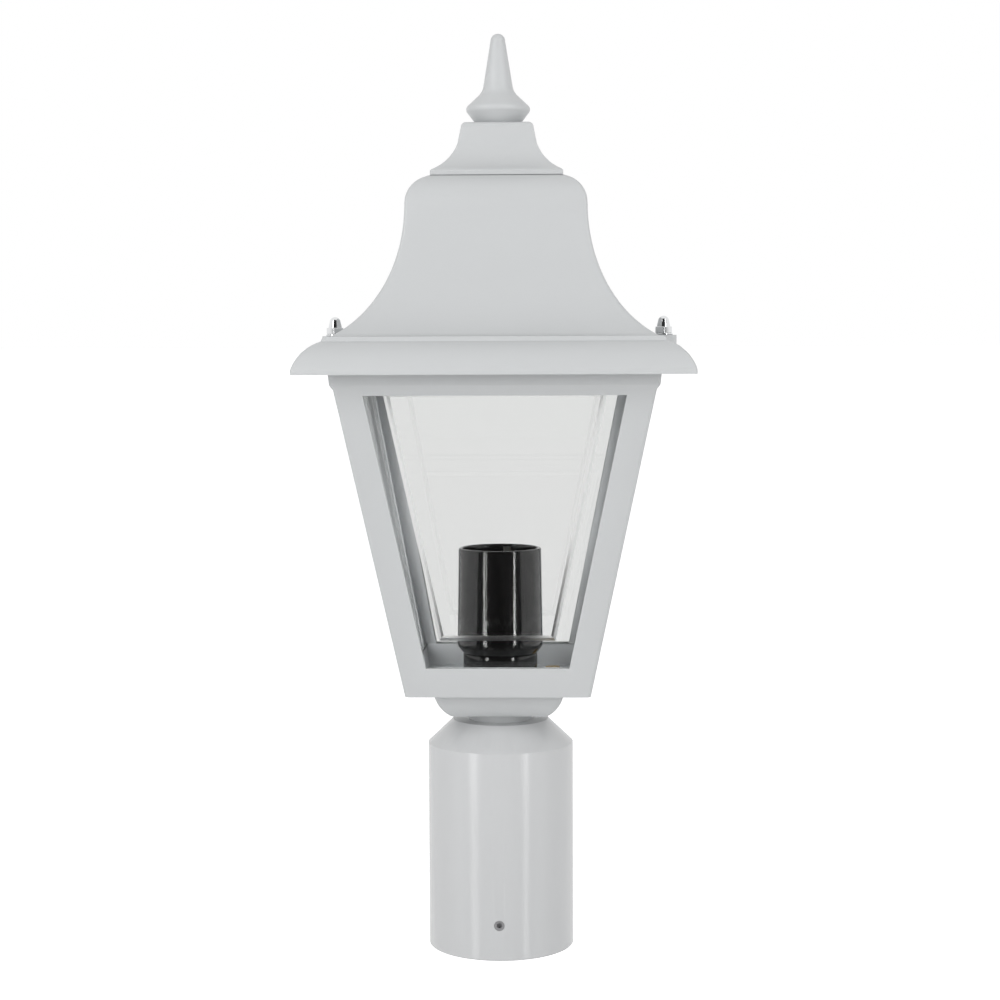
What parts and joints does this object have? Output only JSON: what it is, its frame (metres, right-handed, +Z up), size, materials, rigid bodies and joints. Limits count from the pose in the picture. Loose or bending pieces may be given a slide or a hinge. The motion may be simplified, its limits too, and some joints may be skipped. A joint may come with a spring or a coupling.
{
  "type": "post top lantern",
  "caption": "White post top lantern with a tapered glazed head, a lift-off bell roof, a turned finial, a black screw lampholder and a round socket that clamps on a post.",
  "frame": {"origin": "centre of the socket's open lower rim, on the plane that the lantern stands on", "axes": "+Z up along the post, -Y to the front pane that faces the viewer, +X to the right nut"},
  "size_m": [0.1844, 0.1844, 0.4501],
  "materials": {
    "sleeve_paint": "gloss white powder coat",
    "body_paint": "satin white powder coat",
    "clear_glass": "clear, grooved and polished",
    "strip_steel": "dull grey",
    "tray_steel": "bright rolled sheet",
    "plated_steel": "zinc plated",
    "grub_steel": "blackened",
    "bright_nickel": "bright nickel",
    "holder_black": "glossy black",
    "carrier_white": "matt white",
    "shell_nickel": "nickel plated",
    "lock_steel": "spring steel",
    "contact_brass": "bright",
    "gasket_rubber": "matt black"
  },
  "bodies": {
    "head": {"base_boss": "body_paint", "centre_contact": "contact_brass", "contact_carrier": "carrier_white", "corner_strip_back_left": "strip_steel", "corner_strip_back_right": "strip_steel", "corner_strip_front_left": "strip_steel", "corner_strip_front_right": "strip_steel", "earth_screw": "contact_brass", "earth_washer": "contact_brass", "frame_cage": "body_paint", "glass_back": "clear_glass", "glass_front": "clear_glass", "glass_left": "clear_glass", "glass_right": "clear_glass", "holder_base": "holder_black", "holder_skirt": "holder_black", "holder_terminals": "contact_brass", "hollow_rod": "plated_steel", "lamp_shell": "shell_nickel", "lamp_tray": "tray_steel", "post_sleeve": "sleeve_paint", "rod_lower_nut": "plated_steel", "rod_lower_washer": "plated_steel", "rod_upper_nut": "plated_steel", "rod_upper_washer": "plated_steel", "roof_gasket": "gasket_rubber", "roof_studs": "bright_nickel", "skirt_lock": "lock_steel", "stud_locknuts": "plated_steel"},
    "roof": {"roof_shell": "body_paint", "crown_cap": "body_paint", "finial": "body_paint", "finial_stud": "plated_steel", "finial_washer": "plated_steel", "finial_nut": "plated_steel", "nut_washers": "bright_nickel"},
    "nut_left": {"acorn_nut_left": "bright_nickel"},
    "nut_right": {"acorn_nut_right": "bright_nickel"},
    "grub_front": {"grub_screw_front": "grub_steel"},
    "grub_left": {"grub_screw_left": "grub_steel"},
    "grub_right": {"grub_screw_right": "grub_steel"}
  },
  "joints": [
    {"name": "roof_lift", "type": "slide", "parent": "head", "child": "roof", "axis": [0, 0, 1], "range_m": [0, 0.12]},
    {"name": "acorn_nut_left", "type": "hinge", "parent": "roof", "child": "nut_left", "pos_m": [-0.0808, 0, 0.3076], "axis": [0, 0, 1], "continuous": true},
    {"name": "acorn_nut_right", "type": "hinge", "parent": "roof", "child": "nut_right", "pos_m": [0.0808, 0, 0.3076], "axis": [0, 0, 1], "continuous": true},
    {"name": "grub_screw_front", "type": "slide", "parent": "head", "child": "grub_front", "axis": [0, 1, 0], "range_m": [0, 0.0025]},
    {"name": "grub_screw_right", "type": "slide", "parent": "head", "child": "grub_right", "axis": [-0.866, -0.5, 0], "range_m": [0, 0.0025]},
    {"name": "grub_screw_left", "type": "slide", "parent": "head", "child": "grub_left", "axis": [0.866, -0.5, 0], "range_m": [0, 0.0025]}
  ]
}
